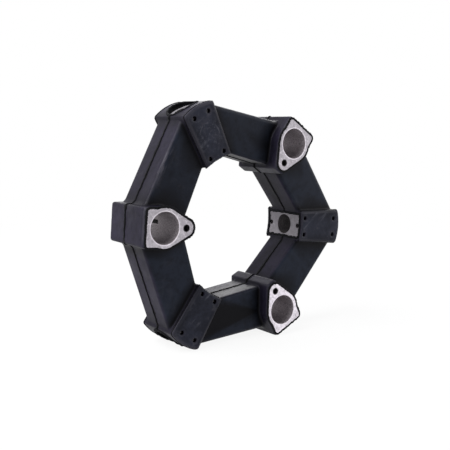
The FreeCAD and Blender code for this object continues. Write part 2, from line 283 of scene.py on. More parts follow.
def flash_tree():
    tree = bpy.data.node_groups.new("flash_along_path", "GeometryNodeTree")
    face = tree.interface
    face.new_socket("Geometry", in_out="INPUT", socket_type="NodeSocketGeometry")
    for name in ("Step", "Radius", "Unevenness", "Grain", "Seed"):
        face.new_socket(name, in_out="INPUT", socket_type="NodeSocketFloat")
    face.new_socket("Jag", in_out="INPUT", socket_type="NodeSocketVector")
    face.new_socket("Sides", in_out="INPUT", socket_type="NodeSocketInt")
    face.new_socket("Material", in_out="INPUT", socket_type="NodeSocketMaterial")
    face.new_socket("Geometry", in_out="OUTPUT", socket_type="NodeSocketGeometry")

    def add(kind, **values):
        node = tree.nodes.new(kind)
        for key, value in values.items():
            setattr(node, key, value)
        return node

    def join(source, target):
        tree.links.new(source, target)

    given = add("NodeGroupInput").outputs
    path = add("GeometryNodeMeshToCurve")
    steps = add("GeometryNodeResampleCurve")
    steps.mode = "LENGTH"
    place = add("GeometryNodeInputPosition")
    jag_noise = add("ShaderNodeTexNoise", noise_dimensions="4D")
    jag_centred = add("ShaderNodeVectorMath", operation="SUBTRACT")
    jag_centred.inputs[1].default_value = (0.5, 0.5, 0.5)
    jag = add("ShaderNodeVectorMath", operation="MULTIPLY")
    moved = add("GeometryNodeSetPosition")
    width_noise = add("ShaderNodeTexNoise", noise_dimensions="4D")
    width = add("ShaderNodeMapRange")
    width.inputs["From Min"].default_value = 0.3
    width.inputs["From Max"].default_value = 0.7
    width.inputs["To Max"].default_value = 1.0
    thin = add("ShaderNodeMath", operation="SUBTRACT")
    thin.inputs[0].default_value = 1.0
    uneven = add("GeometryNodeSetCurveRadius")
    profile = add("GeometryNodeCurvePrimitiveCircle")
    bead = add("GeometryNodeCurveToMesh")
    painted = add("GeometryNodeSetMaterial")
    real = add("GeometryNodeRealizeInstances")
    out = add("NodeGroupOutput").inputs

    join(given["Geometry"], path.inputs["Mesh"])
    join(path.outputs["Curve"], steps.inputs["Curve"])
    join(given["Step"], steps.inputs["Length"])
    for texture in (jag_noise, width_noise):
        join(place.outputs["Position"], texture.inputs["Vector"])
        join(given["Grain"], texture.inputs["Scale"])
        texture.inputs["Detail"].default_value = 3.0
    join(given["Seed"], jag_noise.inputs["W"])
    join(given["Grain"], width_noise.inputs["W"])
    join(jag_noise.outputs["Color"], jag_centred.inputs[0])
    join(jag_centred.outputs["Vector"], jag.inputs[0])
    join(given["Jag"], jag.inputs[1])
    join(steps.outputs["Curve"], moved.inputs["Geometry"])
    join(jag.outputs["Vector"], moved.inputs["Offset"])
    join(width_noise.outputs["Fac"], width.inputs["Value"])
    join(given["Unevenness"], thin.inputs[1])
    join(thin.outputs["Value"], width.inputs["To Min"])
    join(moved.outputs["Geometry"], uneven.inputs["Curve"])
    join(width.outputs["Result"], uneven.inputs["Radius"])
    join(given["Sides"], profile.inputs["Resolution"])
    join(given["Radius"], profile.inputs["Radius"])
    join(uneven.outputs["Curve"], bead.inputs["Curve"])
    join(profile.outputs["Curve"], bead.inputs["Profile Curve"])
    bead.inputs["Fill Caps"].default_value = True
    join(bead.outputs["Mesh"], painted.inputs["Geometry"])
    join(given["Material"], painted.inputs["Material"])
    join(painted.outputs["Geometry"], real.inputs["Geometry"])
    join(real.outputs["Geometry"], out["Geometry"])
    return tree


def flash(name, found, material, step, radius, unevenness, grain, seed, jag, sides=8, spare=0.0):
    """An uneven bead of rubber along chains of points, made a plain mesh."""
    tree = bpy.data.node_groups.get("flash_along_path") or flash_tree()
    path = line_object(f"{name}_path", found)
    modifier = path.modifiers.new("flash", "NODES")
    modifier.node_group = tree
    values = {
        "Step": step, "Radius": radius, "Unevenness": unevenness, "Grain": grain,
        "Seed": float(seed), "Jag": jag, "Sides": sides, "Material": material,
    }
    for socket in tree.interface.items_tree:
        if socket.in_out == "INPUT" and socket.name in values:
            modifier[socket.identifier] = values[socket.name]
    path.update_tag()
    graph = bpy.context.evaluated_depsgraph_get()
    mesh = bpy.data.meshes.new_from_object(path.evaluated_get(graph))
    mesh.name = name
    old = path.data
    bpy.data.objects.remove(path)
    bpy.data.meshes.remove(old)
    keep_in_box(mesh, spare)
    return finish_piece(name, mesh, material)


# Tones of dull aluminium, and painted shade in and round a pin hole

DULL = (0.150, 0.135, 0.155)
PIN_HOLE_SHADE = (0.030, 0.028, 0.030)

# Radius of an axial bore, from the frame

BORE_RADIUS = min((Vector((vert.co.x, 0, vert.co.z)) - Vector((bore[0], 0, bore[2]))).length
                  for bore in [mounts["axial_bore_left"]["pos_m"]]
                  for vert in frame["nodes"]["axial_bush_left"].data.vertices)

# Tones of the rubber: rubbed, also used as a painted highlight; a painted tint for the light on the side
# walls; a pale line; scratched; near black, for dark marks and for painted shade; and the band in which a
# face counts as a plate

RUBBED_AND_HIGHLIT = (0.052, 0.050, 0.062)
PAINTED_WALL_TINT = (0.0165, 0.0142, 0.0275)
PALE_LINE = (0.16, 0.16, 0.18)
SCRATCHED = (0.095, 0.098, 0.120)
SHADED = (0.0015, 0.0015, 0.0022)
PLATE_BAND = 0.12 * MM


# Shader nodes

class Shader:
    """A material with a few calls for the nodes that the finishes share."""

    def __init__(self, name):
        self.material = bpy.data.materials.new(name)
        self.material.use_nodes = True
        self.tree = self.material.node_tree
        self.surface = self.tree.nodes["Principled BSDF"]
        self.place = self.add("ShaderNodeTexCoord").outputs["Object"]

    def add(self, kind, **values):
        node = self.tree.nodes.new(kind)
        for key, value in values.items():
            setattr(node, key, value)
        return node

    def join(self, source, target):
        self.tree.links.new(source, target)

    def mapped(self, key, value, vector=None):
        """The place, or a vector, with a Location, Rotation or Scale."""
        mapping = self.add("ShaderNodeMapping")
        self.join(vector or self.place, mapping.inputs["Vector"])
        mapping.inputs[key].default_value = value
        return mapping.outputs["Vector"]

    def grained(self, centre, direction, stretch):
        """Places from a centre with X along a direction round the ring, shrunk along it."""
        moved = self.mapped("Location", tuple(-value for value in centre))
        turned = self.mapped("Rotation", (0.0, math.atan2(direction.z, direction.x), 0.0), moved)
        return self.mapped("Scale", (1.0 / stretch, 1.0, 1.0), turned)

    def stored(self, name):
        """The value of one of the skin's own attributes."""
        return self.add("ShaderNodeAttribute", attribute_name=name).outputs["Fac"]

    def far(self, vector):
        """The length of a vector."""
        node = self.add("ShaderNodeVectorMath", operation="LENGTH")
        self.join(vector, node.inputs[0])
        return node.outputs["Value"]

    def noise(self, scale, detail=4.0, rough=0.55, vector=None):
        node = self.add("ShaderNodeTexNoise")
        self.join(vector or self.place, node.inputs["Vector"])
        node.inputs["Scale"].default_value = scale
        node.inputs["Detail"].default_value = detail
        node.inputs["Roughness"].default_value = rough
        return node.outputs["Fac"]

    def span(self, value, low, high, first=0.0, last=1.0):
        """Maps low..high to first..last and stops there."""
        node = self.add("ShaderNodeMapRange")
        self.join(value, node.inputs["Value"])
        for key, number in (("From Min", low), ("From Max", high), ("To Min", first), ("To Max", last)):
            node.inputs[key].default_value = number
        return node.outputs["Result"]

    def maths(self, operation, first, second):
        node = self.add("ShaderNodeMath", operation=operation)
        for index, value in enumerate((first, second)):
            if isinstance(value, float):
                node.inputs[index].default_value = value
            else:
                self.join(value, node.inputs[index])
        return node.outputs["Value"]

    def near(self, value, level, width):
        """1 within a width of a level, and 0 elsewhere."""
        node = self.add("ShaderNodeMath", operation="COMPARE")
        self.join(value, node.inputs[0])
        node.inputs[1].default_value = level
        node.inputs[2].default_value = width
        return node.outputs["Value"]

    def near_either(self, value, first, second, width):
        return self.maths("MAXIMUM", self.near(value, first, width), self.near(value, second, width))

    def mixed(self, factor, first, second):
        """A colour between two, each given as numbers or as a socket."""
        node = self.add("ShaderNodeMix", data_type="RGBA")
        self.join(factor, node.inputs["Factor"])
        for key, value in (("A", first), ("B", second)):
            socket = [item for item in node.inputs if item.name == key and item.type == "RGBA"][0]
            if isinstance(value, tuple):
                socket.default_value = (*value, 1.0)
            else:
                self.join(value, socket)
        return [item for item in node.outputs if item.type == "RGBA"][0]

    def axis(self, name):
        """One coordinate of the place, such as Y along the ring's axis."""
        split = self.add("ShaderNodeSeparateXYZ")
        self.join(self.place, split.inputs["Vector"])
        return split.outputs[name]

    def specks(self, scale, size, share):
        """Small round specks, on a share of the cells of a grid of about one over scale metres."""
        cells = self.add("ShaderNodeTexVoronoi")
        self.join(self.place, cells.inputs["Vector"])
        cells.inputs["Scale"].default_value = scale
        inside = self.span(cells.outputs["Distance"], size, size * 0.6)
        split = self.add("ShaderNodeSeparateColor")
        self.join(cells.outputs["Color"], split.inputs["Color"])
        chosen = self.span(split.outputs["Red"], share, share * 0.96)
        return self.maths("MULTIPLY", inside, chosen)

    def beside(self, name, reach):
        """1 on a ridge or in a hollow, and 0 from a reach away."""
        return self.span(self.stored(name), 1.0 - reach / EDGE_REACH, 1.0)

    def line(self, start, end, width):
        """1 along a straight line across Y, and 0 from a width away."""
        along = end - start
        moved = self.mapped("Location", tuple(-start))
        turned = self.mapped("Rotation", (0.0, math.atan2(along.z, along.x), 0.0), moved)
        off = self.span(self.far(self.mapped("Scale", (0.0, 1.0, 1.0), turned)), width, width / 2)
        split = self.add("ShaderNodeSeparateXYZ")
        self.join(turned, split.inputs["Vector"])
        before = self.span(split.outputs["X"], -width, width)
        after = self.span(split.outputs["X"], along.length + width, along.length - width)
        return self.maths("MULTIPLY", off, self.maths("MULTIPLY", before, after))

    def spokes(self, inner, outer, start):
        """1 near the axes of the radial blocks beyond a start, and 0 from an outer distance."""
        share = None
        for place in PLACES_RADIAL:
            axis = radial_axis(place)
            turned = self.mapped("Rotation", (0.0, math.atan2(axis.z, axis.x), 0.0))
            near = self.span(self.far(self.mapped("Scale", (0.0, 1.0, 1.0), turned)), outer, inner)
            split = self.add("ShaderNodeSeparateXYZ")
            self.join(turned, split.inputs["Vector"])
            near = self.maths("MULTIPLY", near, self.span(split.outputs["X"], start, start + 0.5 * MM))
            share = self.maths("MAXIMUM", share, near) if share else near
        return share

    def round_axes(self, places, inner, outer):
        """1 within an inner distance of axes that run along Y, and 0 from an outer one."""
        share = None
        for place in places:
            moved = self.mapped("Location", (-place.x, 0.0, -place.z))
            near = self.span(self.far(self.mapped("Scale", (1.0, 0.0, 1.0), moved)), outer, inner)
            share = self.maths("MAXIMUM", share, near) if share else near
        return share

    def bump(self, height, strength, distance, before=None):
        node = self.add("ShaderNodeBump")
        node.inputs["Strength"].default_value = strength
        node.inputs["Distance"].default_value = distance
        self.join(height, node.inputs["Height"])
        if before:
            self.join(before, node.inputs["Normal"])
        return node.outputs["Normal"]


def scaled(colour, factor):
    return tuple(value * factor for value in colour)


def round_ring(place, out, around, level):
    """A place given from a radial block: away from the ring's axis, round the ring and along the axis."""
    axis = radial_axis(place)
    return axis * out + Vector((-axis.z, 0, axis.x)) * around + Vector((0, level, 0))


def plate_scratches(shader, plate):
    """Fine broken scratches on the flat faces, and a faint arc and pale spots on the top one."""
    middle_of_plate = round_ring("top", 84.0 * MM, 0.0, -BACK)
    reach = shader.far(shader.mapped("Location", tuple(-middle_of_plate)))
    wander = shader.span(shader.noise(70.0, 2.0, 0.5), 0.3, 0.7, -1.0 * MM, 1.0 * MM)
    off = shader.maths("SUBTRACT", shader.maths("ADD", reach, wander), 9.5 * MM)
    arc = shader.span(shader.maths("ABSOLUTE", off, 0.0), 0.70 * MM, 0.30 * MM, 0.0, 0.60)
    height = middle_of_plate.z
    upper_half = shader.span(shader.axis("Z"), height - 1.0 * MM, height + 4.0 * MM)
    lines = shader.maths("MULTIPLY", arc, upper_half)
    spots = shader.span(shader.noise(520.0, 4.0, 0.7), 0.53, 0.66, 0.0, 0.50)
    spots = shader.maths("MULTIPLY", spots, shader.span(reach, 17.0 * MM, 8.0 * MM))
    broken = shader.span(shader.noise(160.0, 3.0, 0.6), 0.42, 0.58)
    hair = shader.noise(240.0, 2.0, 0.5, shader.grained(middle_of_plate, Vector((0.8, 0, 0.6)), 9.0))
    hair = shader.span(hair, 0.60, 0.70, 0.0, 0.6)
    marks = shader.maths("MULTIPLY", shader.maths("MAXIMUM", lines, hair), broken)
    marks = shader.maths("MAXIMUM", marks, spots)
    return shader.maths("MULTIPLY", shader.maths("MULTIPLY", marks, plate), 0.80)


def limb_scuff_and_highlight(shader):
    """A pale streaky mark along the rounded outer edge of the upper left limb: partly a scuff, partly a
    painted highlight.
    """
    centre = round_ring("top", 80.0 * MM, 45.0 * MM, -16.0 * MM)
    direction = round_ring("top", -0.6, 0.8, 0.0)
    streaks = shader.noise(430.0, 4.0, 0.6, shader.grained(centre, direction, 8.0))
    close = shader.span(shader.far(shader.grained(centre, direction, 3.6)), 6.5 * MM, 2.5 * MM)
    return shader.maths("MULTIPLY", shader.span(streaks, 0.50, 0.66, 0.0, 0.75), close)


def parting_shade(shader, level):
    """A dark, ragged band on the walls where the two halves of the mould met: partly the dark parting line,
    partly painted shade beside its flash.
    """
    ragged = shader.span(shader.noise(330.0, 3.0, 0.6), 0.3, 0.7, -0.60 * MM, 0.60 * MM)
    wider = shader.span(shader.noise(85.0, 3.0, 0.6), 0.47, 0.64, 0.0, 1.40 * MM)
    off = shader.maths("ABSOLUTE", shader.maths("ADD", level, ragged), 0.0)
    return shader.span(shader.maths("SUBTRACT", off, wider), 1.40 * MM, 1.00 * MM)


def foot_line(shader):
    """A thin, broken pale line along the foot of the bottom block."""
    start = round_ring("bottom", 62.5 * MM, -10.5 * MM, -20.2 * MM)
    end = round_ring("bottom", 104.5 * MM, -10.5 * MM, -20.2 * MM)
    broken = shader.span(shader.noise(210.0, 3.0, 0.6), 0.38, 0.60, 0.25, 1.0)
    return shader.maths("MULTIPLY", shader.line(start, end, 0.75 * MM), broken)


def rubber_material(name, settings):
    """Satin black rubber with a bluish cast, dull patches, rub marks, fine grain and dust, and painted light:
    a tint on the side walls, highlights on ridges, and shade above, in hollows, in recesses and beside the
    parting line.
    """
    shader = Shader(name)
    base = tuple(settings.rubber_colour)
    warm = tuple(settings.plate_colour)
    patches = shader.noise(38.0, 5.0, 0.6)
    cloudy = shader.noise(9.0, 3.0, 0.5)
    tone = shader.span(patches, 0.35, 0.7)
    level = shader.axis("Y")
    plate = shader.near_either(level, -BACK, BACK, PLATE_BAND)
    front = shader.span(shader.stored("front"), 0.35, 0.85)
    # Faces that look along Y take the rubber's colour, and the other walls take a painted tint that stands
    # for the light falling on them
    colour = shader.mixed(front, PAINTED_WALL_TINT, shader.mixed(tone, base, scaled(base, 0.72)))
    # Dark cloudy patches, faded out towards the bottom: partly random tone, partly painted shade that darkens
    # the upper parts
    upper = shader.span(shader.axis("Z"), -0.07, 0.0, 0.1, 1.0)
    dark_clouds_and_top_shade = shader.maths("MULTIPLY", shader.span(cloudy, 0.38, 0.56, 0.40, 0.0), upper)
    colour = shader.mixed(dark_clouds_and_top_shade, colour, SHADED)
    colour = shader.mixed(plate, colour, shader.mixed(tone, warm, scaled(warm, 1.5)))
    # Painted shade in the hollows: darker near concave edges, less on the walls than on faces that look along
    # Y
    shaded = shader.span(shader.beside("hollow", 10.0 * MM), 0.0, 0.8)
    colour = shader.mixed(shader.maths("MULTIPLY", shaded, shader.span(front, 0.0, 1.0, 0.55, 1.0)),
                          colour, SHADED)
    mottle = shader.noise(150.0, 5.0, 0.7)
    colour = shader.mixed(shader.span(mottle, 0.48, 0.66, 0.0, 0.40), colour, SHADED)
    pale_spots = shader.maths("MULTIPLY", shader.span(mottle, 0.46, 0.32, 0.0, 0.50), plate)
    colour = shader.mixed(pale_spots, colour, RUBBED_AND_HIGHLIT)
    rubs = shader.noise(26.0, 6.0, 0.7)
    colour = shader.mixed(shader.span(rubs, 0.56, 0.74, 0.0, 0.30), colour, RUBBED_AND_HIGHLIT)
    # Pale ridges: partly wear, partly a painted highlight along the edges, kept off the painted shade beside
    # hollows
    worn_and_highlit = shader.span(patches, 0.40, 0.62, 0.2, 0.9)
    worn_and_highlit = shader.maths("MULTIPLY", worn_and_highlit, shader.beside("ridge", 1.8 * MM))
    bare = shader.span(shader.beside("hollow", 6.0 * MM), 0.0, 0.6, 1.0, 0.0)
    colour = shader.mixed(shader.maths("MULTIPLY", worn_and_highlit, bare), colour, RUBBED_AND_HIGHLIT)
    colour = shader.mixed(plate_scratches(shader, plate), colour, SCRATCHED)
    # Scuff and painted highlight on the upper left limb
    scuff = limb_scuff_and_highlight(shader)
    colour = shader.mixed(scuff, colour, RUBBED_AND_HIGHLIT)
    dust = shader.specks(95.0, 0.030, 0.18)
    colour = shader.mixed(dust, colour, (0.42, 0.42, 0.44))
    seam = shader.near_either(level, SEAM_DEPTH - BACK, BACK - SEAM_DEPTH, 0.55 * MM)
    seam = shader.maths("MULTIPLY", seam, shader.spokes(28.0 * MM, 30.0 * MM, 60.0 * MM))
    colour = shader.mixed(seam, colour, SHADED)
    # Painted shade on the walls of the openings for the bolts' heads
    recess_shade = shader.spokes(13.3 * MM, 13.8 * MM, HEAD_SEAT - 1.0 * MM)
    colour = shader.mixed(recess_shade, colour, SHADED)
    colour = shader.mixed(foot_line(shader), colour, PALE_LINE)
    # Painted shade along the parting line
    colour = shader.mixed(parting_shade(shader, level), colour, SHADED)
    shader.join(colour, shader.surface.inputs["Base Color"])
    grain = shader.noise(1500.0, 3.0, 0.6)
    fine = shader.span(patches, 0.3, 0.7, 0.30, 0.46)
    rough = shader.maths("ADD", fine, shader.span(cloudy, 0.3, 0.7, 0.0, 0.08))
    shader.join(rough, shader.surface.inputs["Roughness"])
    shader.surface.inputs["Specular IOR Level"].default_value = settings.rubber_gloss
    shader.surface.inputs["Specular Tint"].default_value = (0.93, 0.91, 1.0, 1.0)
    waves = shader.bump(shader.noise(70.0, 4.0, 0.6), 0.40, 0.0007)
    shader.join(shader.bump(grain, 0.22, 0.00012, waves), shader.surface.inputs["Normal"])
    return shader.material


def flash_material(name):
    """The matt, darker rubber of thin flash and torn edges."""
    shader = Shader(name)
    tone = shader.noise(420.0, 4.0, 0.6)
    colour = shader.mixed(shader.span(tone, 0.35, 0.7), (0.0015, 0.0015, 0.0022), (0.006, 0.006, 0.008))
    shader.join(colour, shader.surface.inputs["Base Color"])
    shader.join(shader.span(tone, 0.3, 0.7, 0.55, 0.8), shader.surface.inputs["Roughness"])
    shader.surface.inputs["Specular IOR Level"].default_value = 0.10
    shader.join(shader.bump(tone, 0.5, 0.0002), shader.surface.inputs["Normal"])
    return shader.material


def flange_mask(shader):
    """1 on the flanges' front faces and on the back faces of the axial bushes."""
    level = shader.axis("Y")
    return shader.near_either(level, FRONT, BACK, PLATE_BAND)


def hub_mask(shader):
    """1 on a radial bush's inner face."""
    reach = shader.far(shader.mapped("Scale", (1.0, 0.0, 1.0)))
    return shader.span(reach, HUB_RADIUS + 0.35 * MM, HUB_RADIUS + 0.15 * MM)


def seat_mask(shader):
    """1 on the seat of a radial bolt's head."""
    reach = shader.far(shader.mapped("Scale", (1.0, 0.0, 1.0)))
    return shader.span(reach, HEAD_SEAT - 0.15 * MM, HEAD_SEAT - 0.05 * MM)


def aluminium_material(name, face_colour, bore_colour, metal, mask, bores=(), pins=()):
    """Cast and machined aluminium: pale satin faces, darker above as painted shade, a painted highlight round
    the axial bores, painted shade in the pin holes, and grainy, dark bores.
    """
    shader = Shader(name)
    pale = tuple(face_colour)
    bore = tuple(bore_colour)
    on_face = mask(shader)
    # Painted shade: the faces are darker towards the top
    height = shader.span(shader.axis("Z"), -0.055, 0.0)
    cloud = shader.noise(70.0, 5.0, 0.6)
    grain = shader.noise(1300.0, 4.0, 0.7)
    face = shader.mixed(height, pale, scaled(pale, 0.48))
    face = shader.mixed(shader.span(cloud, 0.35, 0.70, 0.0, 0.30), face, DULL)
    mottle = shader.noise(360.0, 5.0, 0.75)
    face = shader.mixed(shader.span(mottle, 0.46, 0.66, 0.0, 0.45), face, DULL)
    face = shader.mixed(shader.span(mottle, 0.44, 0.34, 0.0, 0.35), face, pale)
    if pins:
        # A painted highlight on the face round each axial bore
        rim = shader.round_axes(bores, BORE_RADIUS + 0.4 * MM, BORE_RADIUS + 1.3 * MM)
        face = shader.mixed(shader.maths("MULTIPLY", rim, 0.7), face, pale)
    coarse_grain = shader.noise(1000.0, 3.0, 0.7)
    inner = shader.mixed(shader.span(coarse_grain, 0.38, 0.62), scaled(bore, 0.70), scaled(bore, 1.40))
    colour = shader.mixed(on_face, inner, face)
    if pins:
        # Painted shade in the pin holes and on a narrow ring round them
        colour = shader.mixed(shader.round_axes(pins, 2.85 * MM, 3.15 * MM), colour, PIN_HOLE_SHADE)
    else:
        seat = shader.mixed(shader.span(cloud, 0.35, 0.65), (0.40, 0.385, 0.41), (0.23, 0.22, 0.24))
        colour = shader.mixed(seat_mask(shader), colour, seat)
    pits = shader.specks(420.0, 0.17, 0.22)
    colour = shader.mixed(shader.maths("MULTIPLY", pits, 0.55), colour, (0.16, 0.155, 0.16))
    scratches = shader.noise(60.0, 5.0, 0.65, shader.mapped("Scale", (14.0, 1.0, 1.0)))
    scratched = shader.span(scratches, 0.64, 0.74, 0.0, 0.35 if pins else 0.10)
    colour = shader.mixed(scratched, colour, (0.9, 0.89, 0.9))
    shader.join(colour, shader.surface.inputs["Base Color"])
    shader.surface.inputs["Metallic"].default_value = metal
    smoothest = 0.42 if pins else 0.58
    shader.join(shader.span(grain, 0.3, 0.7, smoothest, smoothest + 0.20),
                shader.surface.inputs["Roughness"])
    coarse = shader.bump(shader.noise(240.0, 4.0, 0.6), 0.35, 0.00018)
    shader.join(shader.bump(grain, 0.5, 0.00008, coarse), shader.surface.inputs["Normal"])
    return shader.material


def material_of(name, make, *values):
    return bpy.data.materials.get(name) or make(name, *values)


def floor_material(settings):
    """A pale floor that looks white to the camera and in reflections, and keeps a soft shadow."""
    shader = Shader("pale_floor")
    tone = shader.noise(6.0, 3.0, 0.5)
    colour = shader.mixed(tone, (0.90, 0.90, 0.90), (0.94, 0.94, 0.94))
    shader.join(colour, shader.surface.inputs["Base Color"])
    shader.surface.inputs["Roughness"].default_value = 0.9
    shader.surface.inputs["Specular IOR Level"].default_value = 0.1
    glow = shader.add("ShaderNodeEmission")
    glow.inputs["Strength"].default_value = 1.0
    seen = shader.add("ShaderNodeLightPath")
    direct = shader.maths("MAXIMUM", seen.outputs["Is Camera Ray"], seen.outputs["Is Glossy Ray"])
    direct = shader.maths("MAXIMUM", direct, seen.outputs["Is Transmission Ray"])
    white = shader.span(shader.far(shader.place), 0.15, 0.8, settings.floor_whiteness, 1.0)
    share = shader.maths("MULTIPLY", direct, white)
    blend = shader.add("ShaderNodeMixShader")
    shader.join(share, blend.inputs["Fac"])
    shader.join(shader.surface.outputs["BSDF"], blend.inputs[1])
    shader.join(glow.outputs["Emission"], blend.inputs[2])
    shader.join(blend.outputs["Shader"], shader.tree.nodes["Material Output"].inputs["Surface"])
    return shader.material


# Settings that a user would change

class CouplingSettings(bpy.types.PropertyGroup):
    rubber_colour: FloatVectorProperty(
        name="Rubber colour", description="Colour of the rubber", subtype="COLOR",
        size=3, min=0.0, max=1.0, default=(0.0140, 0.0180, 0.0290))
    plate_colour: FloatVectorProperty(
        name="Plate colour", description="Colour of the radial blocks' front faces", subtype="COLOR",
        size=3, min=0.0, max=1.0, default=(0.0155, 0.0172, 0.0270))
    rubber_gloss: FloatProperty(
        name="Rubber gloss", description="Specular level of the rubber", min=0.0, max=1.0, default=0.095)
    face_colour: FloatVectorProperty(
        name="Face colour", description="Colour of the bare aluminium faces", subtype="COLOR",
        size=3, min=0.0, max=1.0, default=(0.95, 0.895, 0.97))
    bore_colour: FloatVectorProperty(
        name="Bore colour", description="Colour of the aluminium inside the bores", subtype="COLOR",
        size=3, min=0.0, max=1.0, default=(0.29, 0.262, 0.28))
    hub_colour: FloatVectorProperty(
        name="Hub face colour", description="Colour of the radial bushes' inner faces", subtype="COLOR",
        size=3, min=0.0, max=1.0, default=(0.42, 0.395, 0.43))
    deep_colour: FloatVectorProperty(
        name="Deep colour", description="Colour inside the radial bores and dowel holes", subtype="COLOR",
        size=3, min=0.0, max=1.0, default=(0.105, 0.095, 0.100))
    aluminium_metal: FloatProperty(
        name="Aluminium metal", description="Share of metallic reflection", min=0.0, max=1.0, default=0.55)


class FlashSettings(bpy.types.PropertyGroup):
    parting_radius: FloatProperty(
        name="Parting line", description="Radius of the bead at the parting line",
        unit="LENGTH", min=0.0, default=0.68 * MM)
    lip_radius: FloatProperty(
        name="Lip", description="Radius of the torn lips round the aluminium",
        unit="LENGTH", min=0.0, default=0.60 * MM)
    seed: IntProperty(name="Seed", description="Seed of the uneven flash", default=7)


class BodySettings(bpy.types.PropertyGroup):
    voxel: FloatProperty(
        name="Grid", description="Grid of the moulded skin", unit="LENGTH", min=0.4 * MM, default=0.7 * MM)
    softness: IntProperty(name="Softness", description="Rounds of smoothing", min=0, default=6)
    edge_width: FloatProperty(
        name="Edge width", description="Half the width of the softened band beside an edge",
        unit="LENGTH", min=0.1 * MM, default=1.0 * MM)
    tuck: FloatProperty(
        name="Tuck", description="Depth of the skin under bare aluminium",
        unit="LENGTH", min=0.0, default=0.45 * MM)
    triangles: IntProperty(
        name="Triangles", description="Most triangles in the skin", min=1000, default=150000)


class SlotSettings(bpy.types.PropertyGroup):
    width: FloatProperty(
        name="Width", description="Width of the filled slot round the bore",
        unit="LENGTH", min=0.0, default=4.2 * MM)
    length: FloatProperty(
        name="Length", description="Length of the filled slot along the bore",
        unit="LENGTH", min=0.0, default=12.6 * MM)
    level: FloatProperty(
        name="Level", description="Middle of the slot along the ring's axis", unit="LENGTH", default=6.2 * MM)
    turn: FloatProperty(
        name="Turn", description="Turn of the slot from the side that looks at the ring's axis",
        unit="ROTATION", default=math.radians(-7.8))
    proud: FloatProperty(
        name="Proud", description="Height of the rubber over the bore's wall",
        unit="LENGTH", min=0.0, default=0.08 * MM)
    seed: IntProperty(name="Seed", description="Seed of the ragged edge", default=3)


class StageSettings(bpy.types.PropertyGroup):
    floor_size: FloatProperty(
        name="Floor size", description="Width of the floor", unit="LENGTH", min=0.1, default=8.0)
    floor_whiteness: FloatProperty(
        name="Floor whiteness", description="Share of plain white in the floor near the part",
        min=0.0, max=1.0, default=0.90)
    light_power: FloatProperty(
        name="Light power", description="Power of the main lamp", unit="POWER", min=0.0, default=22.0)
    world_level: FloatProperty(
        name="World level", description="Strength of the light from all round", min=0.0, default=0.22)


# The moulded rubber

def with_modifier(mesh, kind, **values):
    """A mesh after one modifier, in place of the mesh that is given."""
    piece = bpy.data.objects.new("work", mesh)
    bpy.context.scene.collection.objects.link(piece)
    modifier = piece.modifiers.new("work", kind)
    for key, value in values.items():
        setattr(modifier, key, value)
    graph = bpy.context.evaluated_depsgraph_get()
    made = bpy.data.meshes.new_from_object(piece.evaluated_get(graph))
    bpy.data.objects.remove(piece)
    bpy.data.meshes.remove(mesh)
    return made


def along(edge):
    """Points along an edge."""
    first, second = (vert.co for vert in edge.verts)
    count = max(1, round(edge.calc_length() / EDGE_STEP))
    return [first.lerp(second, index / count) for index in range(count + 1)]


def search_tree(points):
    tree = KDTree(len(points))
    for index, point in enumerate(points):
        tree.insert(point, index)
    tree.balance()
    return tree


def mark_edges(skin):
    """Stores how near each point is to a bare ridge and a bare hollow, and how squarely it faces Y."""
    mesh = welded(RING)
    found = {"ridge": [], "hollow": []}
    for edge in mesh.edges:
        halfway = (edge.verts[0].co + edge.verts[1].co) / 2
        if edge.calc_face_angle(0.0) < SHARP_ANGLE or on_a_seat(halfway):
            continue
        found["ridge" if edge.is_convex else "hollow"] += along(edge)
    mesh.free()
    for name, points in found.items():
        tree = search_tree(points)
        values = [max(0.0, 1.0 - tree.find(vert.co)[2] / EDGE_REACH) for vert in skin.vertices]
        skin.attributes.new(name, "FLOAT", "POINT").data.foreach_set("value", values)
    values = [abs(vert.normal.y) for vert in skin.vertices]
    skin.attributes.new("front", "FLOAT", "POINT").data.foreach_set("value", values)


def whole_solid():
    """The ring and its bushes as one mesh, and a search tree of points along its sharp edges."""
    solid = bmesh.new()
    for node in frame["nodes"].values():
        solid.from_mesh(node.data)
    bmesh.ops.remove_doubles(solid, verts=solid.verts, dist=WELD)
    points = []
    for edge in solid.edges:
        if len(edge.link_faces) == 2 and edge.calc_face_angle(0.0) < SHARP_ANGLE:
            continue
        points += along(edge)
    mesh = bpy.data.meshes.new("whole_solid")
    solid.to_mesh(mesh)
    solid.free()
    return mesh, search_tree(points)


def lay_on_solids(skin, edges, settings):
    """Lays the softened skin on the rubber away from its edges, and a little under bare aluminium."""
    for vert in skin.vertices:
        point = vert.co.copy()
        on_ring, _, _, ring_gap = ring_tree.find_nearest(point)
        on_bush, normal, _, bush_gap = bushes.find_nearest(point)
        if bush_gap < ring_gap:
            vert.co = on_bush - normal * settings.tuck
            continue
        share = edges.find(point)[2] / settings.edge_width - 1.0
        vert.co = point.lerp(on_ring, min(1.0, max(0.0, share)))
    skin.update()


# Operators

class COUPLING_OT_finishes(bpy.types.Operator):
    """Gives the rubber and the six bushes their materials"""
    bl_idname = "coupling.finishes"
    bl_label = "Finish the pieces"

    def execute(self, context):
        settings = context.scene.coupling
        rubber = material_of("satin_rubber", rubber_material, settings)
        metal = settings.aluminium_metal
        bores = [Vector(mounts[f"axial_bore_{place}"]["pos_m"]) for place in PLACES_AXIAL]
        pins = [centre_of(flange_cuts(place)[-1]) for place in PLACES_AXIAL]
        axial = material_of("aluminium_axial", aluminium_material,
                            settings.face_colour, settings.bore_colour, metal, flange_mask, bores, pins)
        radial = material_of("aluminium_radial", aluminium_material,
                             settings.hub_colour, settings.deep_colour, metal, hub_mask)
        for name, node in frame["nodes"].items():
            material = rubber if name == RING else (axial if name.startswith("axial") else radial)
            for slot in node.material_slots:
                slot.material = material
        return {"FINISHED"}


